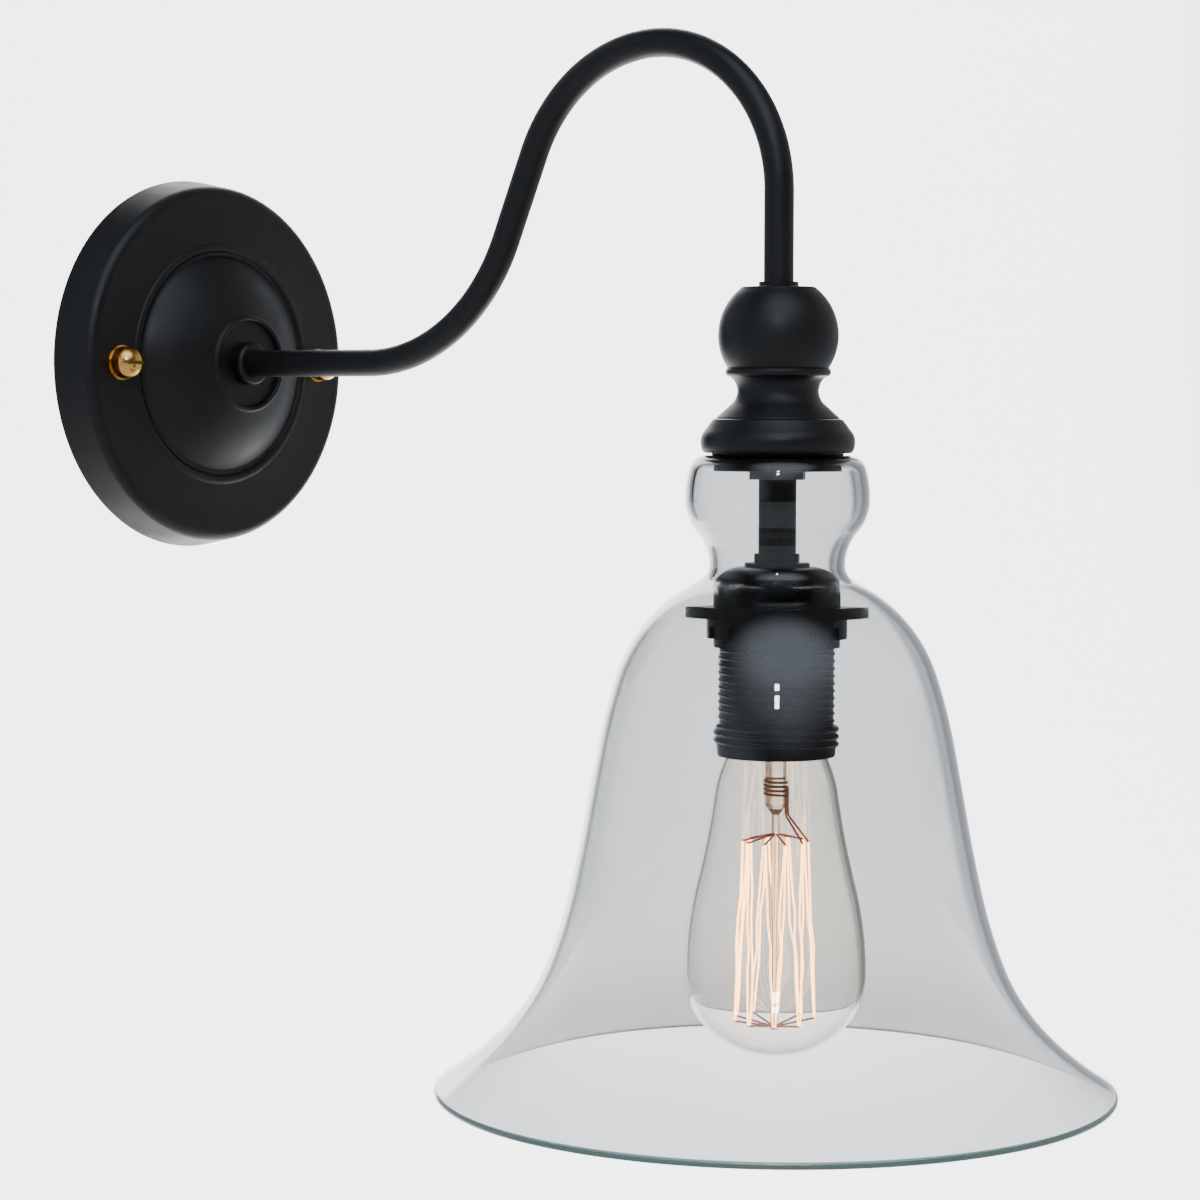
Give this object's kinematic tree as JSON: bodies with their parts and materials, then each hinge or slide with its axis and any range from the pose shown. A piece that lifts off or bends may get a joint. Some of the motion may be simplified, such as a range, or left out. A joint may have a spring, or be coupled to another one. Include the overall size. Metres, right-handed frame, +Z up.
{
  "type": "wall light",
  "caption": "Wall light with a round canopy, a gooseneck arm, a turned cap and a clear glass bell round a cage-filament lamp.",
  "frame": {"origin": "centre of the wall bracket's back face, which lies in the wall's plane with the canopy's back edge", "axes": "+Z up along the glass bell's axis, +Y into the wall, so the arm stands out along -Y"},
  "size_m": [0.22, 0.376, 0.3436],
  "materials": {
    "black_steel": "satin black powder coat",
    "zinc_steel": "zinc plated",
    "brass": "polished",
    "black_rubber": "soft gasket",
    "clear_glass": "clear blown glass",
    "lamp_glass": "thin clear glass",
    "dark_glass": "fused black glass",
    "black_plastic": "moulded phenolic",
    "white_plastic": "moulded insulator",
    "solder": "dull solder",
    "glowing_wire": "glowing filament",
    "fine_wire": "drawn wire",
    "brown_lead": "insulated lead",
    "blue_lead": "insulated lead"
  },
  "bodies": {
    "fixture": {"wall_canopy": "black_steel", "wall_bracket": "zinc_steel", "canopy_studs": "zinc_steel", "stud_locknuts": "zinc_steel", "brass_washer_left": "brass", "brass_washer_right": "brass", "earth_screw": "brass", "connector_block": "white_plastic", "connector_screws": "zinc_steel", "gooseneck_arm": "black_steel", "arm_bush": "black_steel", "arm_washer": "zinc_steel", "arm_locknut": "zinc_steel", "turned_cap": "black_steel", "cap_collar": "black_steel", "threaded_rod": "zinc_steel", "stem_sleeve": "black_steel", "retainer_nut": "zinc_steel", "glass_retainer": "black_steel", "socket_nut": "black_steel", "upper_gasket": "black_rubber", "lower_gasket": "black_rubber", "glass_bell": "clear_glass", "socket_cap": "black_plastic", "socket_skirt": "black_plastic", "socket_core": "white_plastic", "screw_shell": "brass", "centre_contact": "brass", "socket_terminals": "brass", "terminal_screws": "brass", "lead_live": "brown_lead", "lead_neutral": "blue_lead"},
    "lamp_tip": {"lamp_tip_contact": "solder"},
    "lamp": {"lamp_base_insulator": "dark_glass", "lamp_base": "brass", "lamp_glass": "lamp_glass", "lamp_stem": "lamp_glass", "filament": "glowing_wire", "filament_supports": "fine_wire", "lamp_lead_wires": "fine_wire"},
    "shade_ring": {"shade_ring": "black_plastic"},
    "brass_nut_left": {"brass_nut_left": "brass"},
    "brass_nut_right": {"brass_nut_right": "brass"}
  },
  "joints": [
    {"name": "lamp_travel", "type": "slide", "parent": "fixture", "child": "lamp_tip", "axis": [0, 0, 1], "range_m": [-0.01815, 0]},
    {"name": "lamp_turn", "type": "hinge", "parent": "lamp_tip", "child": "lamp", "pos_m": [0, -0.26604, -0.1], "axis": [0, 0, 1], "range_deg": [-1800, 0]},
    {"name": "shade_ring_turn", "type": "hinge", "parent": "fixture", "child": "shade_ring", "pos_m": [0, -0.26604, -0.085], "axis": [0, 0, 1], "range_deg": [-360, 0]},
    {"name": "brass_nut_left_turn", "type": "hinge", "parent": "fixture", "child": "brass_nut_left", "pos_m": [-0.05, -0.02, 0], "axis": [0, 1, 0], "range_deg": [-360, 0]},
    {"name": "brass_nut_right_turn", "type": "hinge", "parent": "fixture", "child": "brass_nut_right", "pos_m": [0.05, -0.02, 0], "axis": [0, 1, 0], "range_deg": [-360, 0]}
  ],
  "couplings": [
    {"joint": "lamp_travel", "follows": "lamp_turn", "m_per_rad": 0.00057773}
  ]
}
